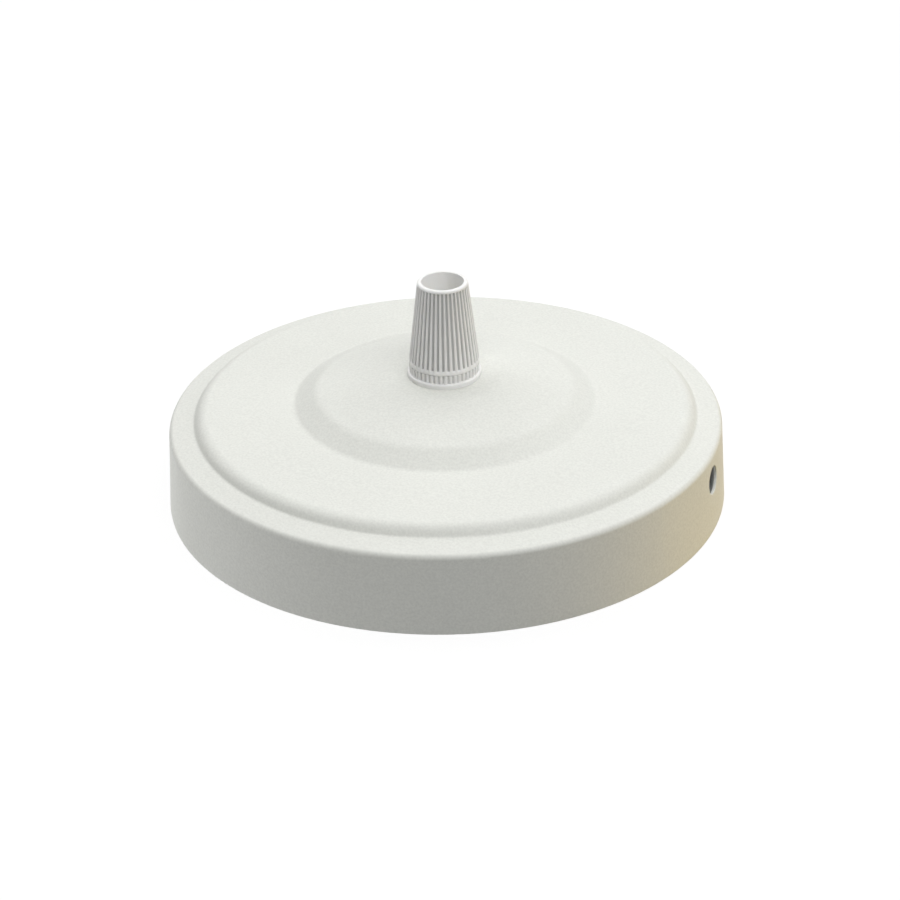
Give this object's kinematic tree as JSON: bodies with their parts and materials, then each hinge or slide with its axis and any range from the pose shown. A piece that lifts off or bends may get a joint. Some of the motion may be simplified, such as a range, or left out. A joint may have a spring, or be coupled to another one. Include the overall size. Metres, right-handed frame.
{
  "type": "electrical ceiling rose",
  "caption": "Round off-white pressed steel ceiling canopy with side screw holes, a fluted screw-down cord grip on its crown, and a strap bracket with terminals inside.",
  "frame": {"origin": "centre of the rim plane, where the canopy meets the ceiling", "axes": "+Z along the cord grip's axis, from the ceiling out through the grip's mouth; +X through the centre of a side screw hole"},
  "size_m": [0.108, 0.108, 0.0445],
  "materials": {
    "powder_coat": "fine-textured off-white powder coat",
    "white_nylon": "moulded white nylon",
    "natural_nylon": "moulded natural nylon",
    "zinc": "bright zinc plate",
    "brass": "drawn brass"
  },
  "bodies": {
    "rose": {"canopy": "powder_coat", "grip_base": "white_nylon", "lock_washer": "zinc", "lock_nut": "zinc", "strap_bracket": "zinc", "earth_stud": "zinc", "earth_washer": "zinc", "earth_nut": "brass", "terminal_block": "natural_nylon", "terminal_barrels": "brass", "terminal_screws": "zinc"},
    "collet": {"clamp_collet": "natural_nylon"},
    "cap": {"grip_cap": "white_nylon"}
  },
  "joints": [
    {"name": "cap_lift", "type": "slide", "parent": "rose", "child": "collet", "axis": [0, 0, 1], "range_m": [0, 0.0045]},
    {"name": "cap_turn", "type": "hinge", "parent": "collet", "child": "cap", "pos_m": [0, 0, 0.036], "axis": [0, 0, 1], "range_deg": [0, 1620]}
  ],
  "couplings": [
    {"joint": "cap_turn", "follows": "cap_lift", "rad_per_m": 6283.2}
  ]
}
